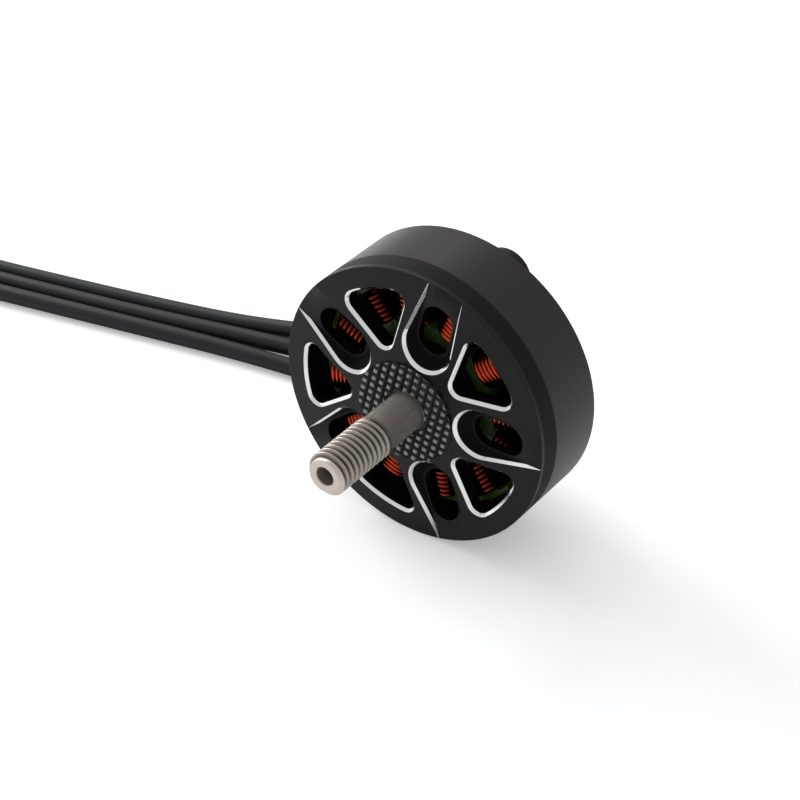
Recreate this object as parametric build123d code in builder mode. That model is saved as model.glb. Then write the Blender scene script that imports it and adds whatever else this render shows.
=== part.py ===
"""Brushless outrunner motor, 28 mm stator class, with a threaded propeller shaft and three leads.

Millimetres. The motor lies on its side with its shaft along -Y and +Z up. The origin is on the
shaft axis, in the plane of the four mounting arms. A height is a distance from that plane towards
the shaft tip, so the point at height h on the axis is (0, -h, 0). The floor under the bell is at
z = -bell_radius.
"""
from build123d import *
from math import cos, pi, radians, sin, tan
import os

os.makedirs("parts", exist_ok=True)

# --- Driving dimensions ------------------------------------------------------------------------
fit_gap = 0.01  # between pressed or bonded pieces
glue_gap = 0.03  # bond line behind a magnet
insulation_gap = 0.05  # epoxy coat between a tooth and its coil
air_gap = 0.27  # between the stator and the magnets

# Stator
stator_radius = 14.0
stator_length = 7.0
slot_count = 12
stator_angle = 9.0  # of the first tooth
slot_opening = 1.1
tooth_width = 2.5
yoke_thickness = 1.7
shoe_thickness = 0.65
tooth_root = 0.5  # a tooth reaches this far into the yoke
end_turn = 1.55  # a coil's rise above and below its tooth
coil_yoke_gap = 0.19
coil_shoe_gap = 0.4
coil_spacing = 0.35  # between neighbouring coils
coil_outer_relief = 0.225  # a coil's outer corners stand in from its neighbour by this much more
coil_base_gap = 0.55  # between the coils and the base's flange

# Magnets
magnet_count = 14
magnet_overhang = 0.2  # magnets longer than the stator
magnet_drop = 0.3  # magnets start this far below the stator
magnet_thickness = 1.4
magnet_gap_angle = 3.0

# Bell: an aluminium cap on a steel flux ring
flux_ring_wall = 1.3
ring_inset = 0.1  # magnets stand in from the ring's open end
lip_gap = 0.05  # between the magnets and the cap's lip
lip_depth = 0.5  # the cap's lip inside the flux ring
lip_wall = 0.8
cap_coil_gap = 0.35  # between the coils and the cap's underside
cap_web_thickness = 1.5  # at the rim
hub_rise = 0.97  # the cap's face rises from its rim to the hub
hub_radius = 6.15
cap_edge_break = 0.08
rim_chamfer = 0.15
seam_chamfer = 0.08

# Windows through the cap, rounded triangles
window_count = 5
window_angle = 39.0
window_rim = 2.67  # between a window and the bell's outside
window_hub_wall = 1.57  # between a window's corner and the hub
window_half_angle = 34.0  # between a window's side and its centre line
window_corner = 1.13
window_bevel = 0.32

# Pockets between the windows: a channel whose floor sinks towards the hub, with a slot through it
pocket_hub_wall = 1.6
pocket_half_width = 2.2
pocket_wall_lean = 40.0  # of a channel's walls, from the floor's normal
pocket_floor_drop = 0.03  # floor below the rim's edge
pocket_floor_fall = 0.065  # the floor sinks by this much per millimetre
pocket_slot_rim = 2.53
pocket_ledge = 0.28  # floor left round the slot
cut_margin = 1.0  # the cuts through the cap run past its faces
channel_overrun = 0.1  # the channel's walls run on above the hub

# Bearings
journal_radius = 2.5
bearing_radius = 5.5
bearing_width = 4.0
rear_bearing_height = 2.4
ball_radius = 0.78
ball_count = 8
ball_groove_depth = 0.125  # how far a ball's edge lies inside a race
groove_gap = 0.06
cage_top = 0.5  # above the balls' middle plane
cage_rim = 0.3  # closed rim below the pockets
cage_half_thickness = 0.25
cage_pocket_gap = 0.07
shield_thickness = 0.15
shield_inset = 0.15
bearing_shoulder = 0.7

# Base
plate_thickness = 3.2
plate_margin = 0.3  # round the stator seat
flange_thickness = 1.4
flange_setback = 0.4  # in from the stator's outside
arm_count = 4
arm_angle = 81.7
arm_end_radius = 3.1
arm_blend = 1.6
mount_circle = 19.0
mount_hole_radius = 1.5
tube_wall = 1.35
seat_step = 0.85  # the stator sits on a step this wide
base_edge_chamfer = 0.3
vent_rim = 1.5  # between a vent and the flange's edge
vent_width = 2.4
vent_angle = 34.0

# Shaft, spacer and rear fastening
spacer_length = 0.4
spacer_inset = 0.05  # in from the inner race's edge
neck_length = 5.83
neck_undercut = 0.16
thread_length = 8.9
thread_chamfer = 0.5
shaft_bore_radius = 1.1
screw_radius = 1.25
screw_length = 6.0
screw_head_radius = 2.1
screw_head_height = 1.2
screw_socket_width = 1.5
screw_socket_depth = 0.7
washer_inset = 0.15  # in from the inner race's edge
washer_thickness = 0.5

# Leads
lead_radius = 1.1
lead_gap = 0.12  # between neighbouring sleeves
lead_clearance = 1.0  # a lead runs straight until it is this far outside the bell
sleeve_wall = 0.18
sleeve_reach = 1.4  # past the exit block
exit_inner_wall = 1.5  # between the rear bearing and the leads' inner ends
exit_block_overlap = 1.0
exit_block_setback = 2.0  # in from the flange's edge
exit_top_wall = 0.4
exit_floor_wall = 0.7
exit_side_wall = 1.3
tinned_radius = 0.62
tinned_length = 5.0

# --- Worked out from the driving dimensions -------------------------------------------------------
base_thickness = plate_thickness + flange_thickness
coil_bottom = base_thickness + coil_base_gap
stator_height = coil_bottom + end_turn
stator_top = stator_height + stator_length
coil_top = stator_top + end_turn

magnet_inner_radius = stator_radius + air_gap
magnet_outer_radius = magnet_inner_radius + magnet_thickness
magnet_height = stator_height - magnet_drop
magnet_length = stator_length + magnet_overhang
ring_inner_radius = magnet_outer_radius + glue_gap
bell_radius = ring_inner_radius + flux_ring_wall
bell_back_height = magnet_height - ring_inset
lip_height = magnet_height + magnet_length + lip_gap
seam_height = lip_height + lip_depth
cap_web_height = coil_top + cap_coil_gap
rim_height = cap_web_height + cap_web_thickness
hub_height = rim_height + hub_rise
floor_z = -bell_radius

inner_race_bore = journal_radius + fit_gap
race_gap = 2 * (ball_radius - ball_groove_depth)
race_wall = (bearing_radius - inner_race_bore - race_gap) / 2
inner_race_radius = inner_race_bore + race_wall
ball_orbit = (journal_radius + bearing_radius) / 2
front_bearing_top = cap_web_height - spacer_length
front_bearing_height = front_bearing_top - bearing_width
rear_bearing_top = rear_bearing_height + bearing_width

tube_radius = bearing_radius + tube_wall
stator_bore_radius = tube_radius + fit_gap
stator_seat_radius = tube_radius + seat_step
plate_radius = stator_seat_radius + plate_margin
flange_radius = stator_radius - flange_setback
yoke_radius = stator_bore_radius + yoke_thickness
exit_angle = arm_angle + 1.5 * 360 / arm_count


def station(height):
    """Plane square to the shaft: local x is +X, local y is +Z, and it looks along the shaft."""
    return Plane(origin=(0, -height, 0), x_dir=(1, 0, 0), z_dir=(0, -1, 0))


# Half sections are drawn on this plane as (radius, height), then revolved about the shaft axis.
half_section = Plane(origin=(0, 0, 0), x_dir=(1, 0, 0), z_dir=(0, 0, -1))


def ring_section(inner, outer, bottom, top):
    """Corners of a ring's rectangular half section."""
    return [(inner, bottom), (outer, bottom), (outer, top), (inner, top)]


# --- Bell cap ---------------------------------------------------------------------------------------
# One window about local +X: two straight sides that would meet at a point, closed by an outer arc.
window_outer_radius = bell_radius - window_rim
window_apex_radius = hub_radius + window_hub_wall
side_slope = tan(radians(window_half_angle))
apex_setback = window_corner / sin(radians(window_half_angle)) - window_corner
side_vertex = window_apex_radius - apex_setback
side_square = 1 + side_slope**2
corner_x = (
    side_slope**2 * side_vertex
    + (side_square * window_outer_radius**2 - (side_slope * side_vertex) ** 2) ** 0.5
) / side_square
corner_y = side_slope * (corner_x - side_vertex)

with BuildSketch() as window_outline:
    with BuildLine():
        Line((side_vertex, 0), (corner_x, -corner_y))
        ThreePointArc((corner_x, -corner_y), (window_outer_radius, 0), (corner_x, corner_y))
        Line((corner_x, corner_y), (side_vertex, 0))
    make_face()
    fillet(window_outline.vertices(), radius=window_corner)

pocket_inner_radius = hub_radius + pocket_hub_wall
pocket_slot_outer_radius = bell_radius - pocket_slot_rim
pocket_centre = pocket_inner_radius + pocket_half_width
pocket_run_out = bell_radius + hub_rise - pocket_centre
slot_half_width = pocket_half_width - pocket_ledge

with BuildSketch() as channel_outline:
    with Locations((pocket_centre, 0)):
        Circle(pocket_half_width)
        Rectangle(pocket_run_out, 2 * pocket_half_width, align=(Align.MIN, Align.CENTER))

slot_run = pocket_slot_outer_radius - slot_half_width - pocket_centre

with BuildSketch() as slot_outline:
    with Locations((pocket_centre + slot_run / 2, 0)):
        SlotCenterToCenter(slot_run, 2 * slot_half_width)

pocket_angle = window_angle - 180 / window_count
floor_height_on_axis = rim_height - pocket_floor_drop - pocket_floor_fall * bell_radius
channel_depth = hub_height - floor_height_on_axis - pocket_floor_fall * pocket_inner_radius + channel_overrun
cut_start = cap_web_height - cut_margin
cut_depth = hub_height - cap_web_height + 2 * cut_margin

with BuildPart() as bell_cap:
    with BuildSketch(half_section):
        with BuildLine():
            Polyline(
                (journal_radius + fit_gap, cap_web_height),
                (ring_inner_radius - fit_gap - lip_wall, cap_web_height),
                (ring_inner_radius - fit_gap - lip_wall, lip_height),
                (ring_inner_radius - fit_gap, lip_height),
                (ring_inner_radius - fit_gap, seam_height),
                (bell_radius - seam_chamfer, seam_height),
                (bell_radius, seam_height + seam_chamfer),
                (bell_radius, rim_height - cap_edge_break),
                (bell_radius - cap_edge_break, rim_height),
                (hub_radius, hub_height),
                (journal_radius + fit_gap, hub_height),
                close=True,
            )
        make_face()
    revolve(axis=Axis.Y)
    with BuildSketch(station(cut_start)):
        with PolarLocations(0, window_count, start_angle=window_angle):
            add(window_outline.sketch)
    extrude(amount=cut_depth, mode=Mode.SUBTRACT)
    upper_edges = bell_cap.edges().filter_by(
        lambda e: e.center().Y < -rim_height + 0.01
        and window_apex_radius - 1 < Vector(e.center().X, 0, e.center().Z).length < window_outer_radius + 0.5
    )
    chamfer(upper_edges, length=window_bevel)
    with BuildSketch(station(cut_start)):
        with PolarLocations(0, window_count, start_angle=pocket_angle):
            add(slot_outline.sketch)
    extrude(amount=cut_depth, mode=Mode.SUBTRACT)
    for number in range(window_count):
        turn = radians(pocket_angle + number * 360 / window_count)
        floor_plane = Plane(
            origin=(0, -floor_height_on_axis, 0),
            x_dir=(cos(turn), -pocket_floor_fall, sin(turn)),
            z_dir=(-pocket_floor_fall * cos(turn), -1, -pocket_floor_fall * sin(turn)),
        )
        with BuildSketch(floor_plane):
            add(channel_outline.sketch)
        extrude(amount=channel_depth, taper=-pocket_wall_lean, mode=Mode.SUBTRACT)
bell_cap.part.label = "bell_cap"
export_step(bell_cap.part, "parts/bell_cap.step")

# --- Flux ring -----------------------------------------------------------------------------------------
with BuildPart() as flux_ring:
    with BuildSketch(half_section):
        with BuildLine():
            Polyline(
                (ring_inner_radius, bell_back_height),
                (bell_radius - rim_chamfer, bell_back_height),
                (bell_radius, bell_back_height + rim_chamfer),
                (bell_radius, seam_height - seam_chamfer),
                (bell_radius - seam_chamfer, seam_height),
                (ring_inner_radius, seam_height),
                close=True,
            )
        make_face()
    revolve(axis=Axis.Y)
flux_ring.part.label = "flux_ring"
export_step(flux_ring.part, "parts/flux_ring.step")

# --- Magnets ---------------------------------------------------------------------------------------------
magnet_angle = 360 / magnet_count - magnet_gap_angle

for number in range(1, magnet_count + 1):
    first_angle = (number - 0.5) * 360 / magnet_count - magnet_angle / 2
    with BuildPart() as magnet:
        with BuildSketch(station(magnet_height)):
            with BuildLine():
                inner_arc = CenterArc((0, 0), magnet_inner_radius, first_angle, magnet_angle)
                outer_arc = CenterArc((0, 0), magnet_outer_radius, first_angle, magnet_angle)
                Line(inner_arc @ 0, outer_arc @ 0)
                Line(inner_arc @ 1, outer_arc @ 1)
            make_face()
        extrude(amount=magnet_length)
    magnet.part.label = f"magnet_{number:02d}"
    export_step(magnet.part, f"parts/magnet_{number:02d}.step")

# --- Stator core --------------------------------------------------------------------------------------------
tooth_pitch = 360 / slot_count
shoe_angle = tooth_pitch - slot_opening / stator_radius * 180 / pi

with BuildPart() as stator_core:
    with BuildSketch(station(stator_height)):
        Circle(yoke_radius)
        with PolarLocations(0, slot_count, start_angle=stator_angle):
            with Locations(((yoke_radius + stator_radius) / 2 - tooth_root, 0)):
                Rectangle(stator_radius - yoke_radius, tooth_width)
        for tooth in range(slot_count):
            first_angle = stator_angle + tooth * tooth_pitch - shoe_angle / 2
            with BuildLine():
                tip_arc = CenterArc((0, 0), stator_radius, first_angle, shoe_angle)
                root_arc = CenterArc((0, 0), stator_radius - shoe_thickness, first_angle, shoe_angle)
                Line(tip_arc @ 0, root_arc @ 0)
                Line(tip_arc @ 1, root_arc @ 1)
            make_face()
        Circle(stator_bore_radius, mode=Mode.SUBTRACT)
    extrude(amount=stator_length)
stator_core.part.label = "stator_core"
export_step(stator_core.part, "parts/stator_core.step")

# --- Coils: one closed ring of wire round each tooth -----------------------------------------------------------
coil_inner_radius = yoke_radius + coil_yoke_gap
coil_outer_radius = stator_radius - shoe_thickness - coil_shoe_gap
half_pitch_slope = tan(radians(tooth_pitch / 2))
coil_inner_half = coil_inner_radius * half_pitch_slope - coil_spacing / 2
coil_outer_half = coil_outer_radius * half_pitch_slope - coil_spacing / 2 - coil_outer_relief

for number in range(1, slot_count + 1):
    tooth_direction = stator_angle + (number - 1) * tooth_pitch
    with BuildPart() as coil:
        with BuildSketch(station(coil_bottom)):
            with PolarLocations(0, 1, start_angle=tooth_direction):
                Polygon(
                    (coil_inner_radius, -coil_inner_half),
                    (coil_outer_radius, -coil_outer_half),
                    (coil_outer_radius, coil_outer_half),
                    (coil_inner_radius, coil_inner_half),
                    align=None,
                )
        extrude(amount=coil_top - coil_bottom)
        with BuildSketch(station(stator_height - insulation_gap)):
            with PolarLocations(0, 1, start_angle=tooth_direction):
                with Locations((stator_radius / 2, 0)):
                    Rectangle(2 * stator_radius, tooth_width + 2 * insulation_gap)
        extrude(amount=stator_length + 2 * insulation_gap, mode=Mode.SUBTRACT)
    coil.part.label = f"coil_{number:02d}"
    export_step(coil.part, f"parts/coil_{number:02d}.step")

# --- Base: mounting arms, flange, lead exit and bearing tube --------------------------------------------------------
exit_direction = Vector(cos(radians(exit_angle)), 0, sin(radians(exit_angle)))
side_direction = Vector(-exit_direction.Z, 0, exit_direction.X)
sleeve_radius = lead_radius + fit_gap + sleeve_wall
lead_pitch = 2 * sleeve_radius + lead_gap
exit_slot_height = 2 * (sleeve_radius + fit_gap)
exit_slot_width = 2 * lead_pitch + exit_slot_height
exit_block_height = base_thickness - exit_top_wall - exit_slot_height - exit_floor_wall
exit_block_end = flange_radius - exit_block_setback
lead_start = bearing_radius + exit_inner_wall
exit_block_start = lead_start - exit_block_overlap
lead_height = base_thickness - exit_top_wall - exit_slot_height / 2
vent_radius = flange_radius - vent_rim - vent_width / 2
exit_plane = Plane(
    origin=exit_direction * lead_start + Vector(0, -lead_height, 0),
    x_dir=side_direction,
    z_dir=exit_direction,
)

with BuildPart() as base:
    with BuildSketch(station(0)) as arms:
        Circle(plate_radius)
        with PolarLocations(mount_circle / 2, arm_count, start_angle=arm_angle):
            Circle(arm_end_radius)
        with PolarLocations(mount_circle / 4, arm_count, start_angle=arm_angle):
            Rectangle(mount_circle / 2, 2 * arm_end_radius)
        inner_corners = arms.vertices().filter_by(
            lambda v: abs(Vector(v.X, 0, v.Z).length - plate_radius) < 0.01
        )
        fillet(inner_corners, radius=arm_blend)
    extrude(amount=plate_thickness)
    chamfer(base.faces().sort_by(Axis.Y)[-1].outer_wire().edges(), length=base_edge_chamfer)
    with BuildSketch(station(plate_thickness)):
        Circle(flange_radius)
        for quarter in range(arm_count):
            middle = arm_angle + (quarter + 0.5) * 360 / arm_count
            if abs(middle - exit_angle) > 1:
                SlotArc(
                    CenterArc((0, 0), vent_radius, middle - vent_angle / 2, vent_angle),
                    vent_width,
                    mode=Mode.SUBTRACT,
                )
    extrude(amount=flange_thickness)
    with BuildSketch(station(exit_block_height)):
        with PolarLocations((exit_block_start + exit_block_end) / 2, 1, start_angle=exit_angle):
            Rectangle(exit_block_end - exit_block_start, exit_slot_width + 2 * exit_side_wall)
    extrude(amount=base_thickness - exit_block_height)
    with BuildSketch(half_section):
        with BuildLine():
            Polyline(
                (bearing_radius, 0.5 * plate_thickness),
                (stator_seat_radius, 0.5 * plate_thickness),
                (stator_seat_radius, stator_height),
                (tube_radius, stator_height),
                (tube_radius, front_bearing_top),
                (bearing_radius, front_bearing_top),
                close=True,
            )
        make_face()
    revolve(axis=Axis.Y)
    with BuildSketch(half_section):
        with BuildLine():
            Polyline(
                (0, 0),
                (bearing_radius + fit_gap, 0),
                (bearing_radius + fit_gap, rear_bearing_top),
                (bearing_radius - bearing_shoulder, rear_bearing_top),
                (bearing_radius - bearing_shoulder, front_bearing_height),
                (bearing_radius + fit_gap, front_bearing_height),
                (bearing_radius + fit_gap, front_bearing_top),
                (0, front_bearing_top),
                close=True,
            )
        make_face()
    revolve(axis=Axis.Y, mode=Mode.SUBTRACT)
    with BuildSketch(exit_plane):
        SlotOverall(exit_slot_width, exit_slot_height)
    extrude(amount=exit_block_end, mode=Mode.SUBTRACT)
    with BuildSketch(station(0)):
        with PolarLocations(mount_circle / 2, arm_count, start_angle=arm_angle):
            Circle(mount_hole_radius)
    extrude(amount=base_thickness, mode=Mode.SUBTRACT)
base.part.label = "base"
export_step(base.part, "parts/base.step")

# --- Bearings -----------------------------------------------------------------------------------------------------------
race_groove_radius = ball_radius + groove_gap

for place, bearing_height in (("rear", rear_bearing_height), ("front", front_bearing_height)):
    middle_height = bearing_height + bearing_width / 2
    bearing_top = bearing_height + bearing_width

    with BuildPart() as inner_race:
        with BuildSketch(half_section):
            with BuildLine():
                Polyline(
                    ring_section(inner_race_bore, inner_race_radius, bearing_height, bearing_top),
                    close=True,
                )
            make_face()
            with Locations((ball_orbit, middle_height)):
                Circle(race_groove_radius, mode=Mode.SUBTRACT)
        revolve(axis=Axis.Y)
    inner_race.part.label = f"{place}_inner_race"
    export_step(inner_race.part, f"parts/{place}_inner_race.step")

    with BuildPart() as outer_race:
        with BuildSketch(half_section):
            with BuildLine():
                Polyline(
                    ring_section(bearing_radius - race_wall, bearing_radius, bearing_height, bearing_top),
                    close=True,
                )
            make_face()
            with Locations((ball_orbit, middle_height)):
                Circle(race_groove_radius, mode=Mode.SUBTRACT)
        revolve(axis=Axis.Y)
    outer_race.part.label = f"{place}_outer_race"
    export_step(outer_race.part, f"parts/{place}_outer_race.step")

    with BuildPart() as balls:
        with PolarLocations(ball_orbit, ball_count):
            Sphere(ball_radius)
    ball_ring = balls.part.rotate(Axis.X, 90).translate((0, -middle_height, 0))
    ball_ring.label = f"{place}_balls"
    export_step(ball_ring, f"parts/{place}_balls.step")

    pocket_radius = ball_radius + cage_pocket_gap
    with BuildPart() as cage:
        with BuildSketch(station(middle_height - pocket_radius - cage_rim)):
            Circle(ball_orbit + cage_half_thickness)
            Circle(ball_orbit - cage_half_thickness, mode=Mode.SUBTRACT)
        extrude(amount=pocket_radius + cage_rim + cage_top)
        with BuildSketch(station(middle_height - pocket_radius)):
            with PolarLocations(ball_orbit, ball_count):
                Circle(pocket_radius)
        extrude(amount=pocket_radius + cage_top, mode=Mode.SUBTRACT)
    cage.part.label = f"{place}_cage"
    export_step(cage.part, f"parts/{place}_cage.step")

    shield_outer = bearing_radius - race_wall - fit_gap
    shield_inner = inner_race_radius + fit_gap + groove_gap
    with BuildPart() as shields:
        for shield_height in (bearing_height + shield_inset, bearing_top - shield_inset - shield_thickness):
            with BuildSketch(station(shield_height)):
                Circle(shield_outer)
                Circle(shield_inner, mode=Mode.SUBTRACT)
            extrude(amount=shield_thickness)
    shields.part.label = f"{place}_shields"
    export_step(shields.part, f"parts/{place}_shields.step")

# --- Shaft ----------------------------------------------------------------------------------------------------------------
neck_radius = journal_radius - neck_undercut
thread_start_height = hub_height + neck_length
shaft_tip_height = thread_start_height + thread_length

with BuildPart() as shaft:
    with BuildSketch(half_section):
        with BuildLine():
            Polyline(
                (screw_radius + fit_gap, rear_bearing_height),
                (journal_radius, rear_bearing_height),
                (journal_radius, hub_height),
                (neck_radius, hub_height),
                (neck_radius, thread_start_height),
                (journal_radius, thread_start_height),
                (journal_radius, shaft_tip_height - thread_chamfer),
                (journal_radius - thread_chamfer, shaft_tip_height),
                (shaft_bore_radius, shaft_tip_height),
                (shaft_bore_radius, rear_bearing_height + screw_length),
                (screw_radius + fit_gap, rear_bearing_height + screw_length),
                close=True,
            )
        make_face()
    revolve(axis=Axis.Y)
shaft.part.label = "shaft"
export_step(shaft.part, "parts/shaft.step")

with BuildPart() as hub_spacer:
    with BuildSketch(half_section):
        with BuildLine():
            Polyline(
                ring_section(
                    inner_race_bore, inner_race_radius - spacer_inset, front_bearing_top, cap_web_height
                ),
                close=True,
            )
        make_face()
    revolve(axis=Axis.Y)
hub_spacer.part.label = "hub_spacer"
export_step(hub_spacer.part, "parts/hub_spacer.step")

# --- Rear fastening: washer and socket screw that draw the shaft against the rear bearing -----------------------------------
washer_bottom = rear_bearing_height - washer_thickness

with BuildPart() as shaft_washer:
    with BuildSketch(half_section):
        with BuildLine():
            Polyline(
                ring_section(
                    screw_radius + groove_gap,
                    inner_race_radius - washer_inset,
                    washer_bottom,
                    rear_bearing_height,
                ),
                close=True,
            )
        make_face()
    revolve(axis=Axis.Y)
shaft_washer.part.label = "shaft_washer"
export_step(shaft_washer.part, "parts/shaft_washer.step")

with BuildPart() as retaining_screw:
    with BuildSketch(station(washer_bottom - screw_head_height)):
        Circle(screw_head_radius)
    extrude(amount=screw_head_height)
    with BuildSketch(station(washer_bottom)):
        Circle(screw_radius)
    extrude(amount=screw_length)
    with BuildSketch(station(washer_bottom - screw_head_height)):
        RegularPolygon(screw_socket_width / 2, 6, major_radius=False)
    extrude(amount=screw_socket_depth, mode=Mode.SUBTRACT)
retaining_screw.part.label = "retaining_screw"
export_step(retaining_screw.part, "parts/retaining_screw.step")

# --- Leads ---------------------------------------------------------------------------------------------------------------------
# After its straight way out each lead drops to the floor and lies there beside the others.
floor_run = floor_z + lead_radius
lead_straight = bell_radius + lead_clearance - lead_start
sleeve_length = exit_block_end + sleeve_reach - lead_start
lead_routes = {
    1: [
        (-27.3, 5.6, -13.0),
        (-40.0, 3.2, -15.0),
        (-53.0, 0.8, -15.7),
        (-66.5, -2.0, floor_run),
        (-80.0, -4.9, floor_run),
        (-94.5, -6.8, floor_run),
        (-109.0, -6.6, floor_run),
        (-122.8, -3.9, floor_run),
        (-135.4, 1.4, floor_run),
        (-146.0, 8.9, floor_run),
    ],
    2: [
        (-25.9, 3.2, -14.6),
        (-38.5, 1.2, -15.3),
        (-51.5, -1.5, -15.8),
        (-65.5, -4.4, floor_run),
        (-79.5, -7.3, floor_run),
        (-94.2, -9.3, floor_run),
        (-109.0, -9.3, floor_run),
        (-123.2, -6.8, floor_run),
        (-136.4, -2.0, floor_run),
        (-147.6, 4.0, floor_run),
    ],
    3: [
        (-24.6, 0.6, floor_run),
        (-37.5, -1.2, floor_run),
        (-50.5, -3.9, floor_run),
        (-64.5, -6.9, floor_run),
        (-79.0, -10.0, floor_run),
        (-93.8, -12.1, floor_run),
        (-108.6, -12.3, floor_run),
        (-123.0, -10.5, floor_run),
        (-136.8, -6.6, floor_run),
        (-148.6, -1.8, floor_run),
    ],
}


def corner_radii(points):
    """The largest tangent arcs that each pair of runs has room for."""
    radii = []
    for before, corner, after in zip(points, points[1:], points[2:]):
        turn = (corner - before).get_angle(after - corner)
        shorter = min((corner - before).length, (after - corner).length)
        radii.append(0.45 * shorter / tan(radians(turn / 2)))
    return radii


for number, route in lead_routes.items():
    offset = (number - 2) * lead_pitch
    start = exit_direction * lead_start + side_direction * offset + Vector(0, -lead_height, 0)
    points = [start, start + exit_direction * lead_straight] + [Vector(*point) for point in route]
    radii = corner_radii(points)
    with BuildPart() as lead:
        with BuildLine() as route_line:
            FilletPolyline(*points, radius=radii)
        with BuildSketch(Plane(origin=start, z_dir=exit_direction)):
            Circle(lead_radius)
        sweep()
    lead_wire = route_line.wires()[0]
    lead.part.label = f"motor_lead_{number}"
    export_step(lead.part, f"parts/motor_lead_{number}.step")
    expected = pi * lead_radius**2 * lead_wire.length
    print(
        f"motor_lead_{number}: length {lead_wire.length:.1f}, volume ratio {lead.part.volume / expected:.4f},",
        "radii",
        [round(radius, 1) for radius in radii],
    )

    with BuildPart() as sleeve:
        with BuildSketch(Plane(origin=start, z_dir=exit_direction)):
            Circle(sleeve_radius)
            Circle(lead_radius + fit_gap, mode=Mode.SUBTRACT)
        extrude(amount=sleeve_length)
    sleeve.part.label = f"lead_sleeve_{number}"
    export_step(sleeve.part, f"parts/lead_sleeve_{number}.step")

    with BuildPart() as tinned_end:
        with BuildSketch(Plane(origin=lead_wire @ 1, z_dir=lead_wire % 1)):
            Circle(tinned_radius)
        extrude(amount=tinned_length)
    tinned_end.part.label = f"tinned_end_{number}"
    export_step(tinned_end.part, f"parts/tinned_end_{number}.step")
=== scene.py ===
"""Looks of the brushless outrunner motor: its finishes, thread, knurl, windings, leads and studio.

Metres, in the part's own frame: the shaft lies along the Y axis with its tip towards -Y, and +Z is
up. A height is a distance from the mounting face towards the shaft's tip.
"""

from math import ceil, cos, pi, radians, sin, tan, tau

import bmesh
import bpy
from bpy.props import FloatProperty, FloatVectorProperty, PointerProperty
from mathutils import Matrix, Vector


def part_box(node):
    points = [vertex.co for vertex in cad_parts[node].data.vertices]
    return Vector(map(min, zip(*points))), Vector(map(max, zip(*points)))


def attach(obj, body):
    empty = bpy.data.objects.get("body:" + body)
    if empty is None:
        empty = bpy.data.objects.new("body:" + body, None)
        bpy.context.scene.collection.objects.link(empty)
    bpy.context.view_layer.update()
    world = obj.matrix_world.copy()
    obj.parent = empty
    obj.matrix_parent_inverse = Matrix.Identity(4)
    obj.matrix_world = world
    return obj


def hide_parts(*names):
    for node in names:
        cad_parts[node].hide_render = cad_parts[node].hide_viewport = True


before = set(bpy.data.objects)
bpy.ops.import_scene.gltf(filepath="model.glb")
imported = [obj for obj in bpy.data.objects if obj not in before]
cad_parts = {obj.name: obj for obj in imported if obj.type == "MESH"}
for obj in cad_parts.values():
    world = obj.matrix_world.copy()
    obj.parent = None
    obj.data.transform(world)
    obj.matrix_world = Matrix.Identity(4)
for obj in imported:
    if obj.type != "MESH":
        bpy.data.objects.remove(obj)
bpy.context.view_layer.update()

bl_info = {
    "name": "Outrunner motor looks",
    "version": (1, 0, 0),
    "blender": (4, 5, 0),
    "location": "View3D > Sidebar > Motor",
    "description": "Finishes and details for a brushless outrunner motor",
    "category": "Object",
}

MM = 0.001

# --- Sizes read from the frame -------------------------------------------------------------------
core_low, core_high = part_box("stator_core")
shaft_low, shaft_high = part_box("shaft")

BELL_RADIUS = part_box("flux_ring")[1].x
FLOOR_Z = -BELL_RADIUS
HUB_HEIGHT = -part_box("bell_cap")[0].y
SHAFT_RADIUS = shaft_high.x
SHAFT_TIP = -shaft_low.y
SHAFT_BACK = -shaft_high.y
STATOR_BOTTOM = -core_high.y
STATOR_TOP = -core_low.y

COILS = sorted(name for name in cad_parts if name.startswith("coil_"))
TEETH = len(COILS)

# A turned piece is modelled with its height along +Z, and this lays it along the shaft.
LAY_DOWN = Matrix.Rotation(radians(90), 4, "X")


# --- Sizes and colours that a user would change --------------------------------------------------
def length(name, description, millimetres):
    """A length property whose default is given in millimetres."""
    return FloatProperty(
        name=name,
        description=description,
        default=millimetres * MM,
        precision=5,
        subtype="DISTANCE",
        unit="LENGTH",
    )


def angle(name, description, degrees):
    """An angle property whose default is given in degrees."""
    return FloatProperty(
        name=name, description=description, default=radians(degrees), subtype="ANGLE", unit="ROTATION"
    )


def colour(name, description, red, green, blue):
    """A colour property."""
    return FloatVectorProperty(
        name=name,
        description=description,
        default=(red, green, blue),
        min=0,
        max=1,
        size=3,
        subtype="COLOR",
    )


def power(name, description, watts):
    """A lamp's power."""
    return FloatProperty(name=name, description=description, default=watts, min=0, unit="POWER")


def share(name, description, default):
    """A number between 0 and 1."""
    return FloatProperty(
        name=name, description=description, default=default, min=0, max=1, subtype="FACTOR"
    )


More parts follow.
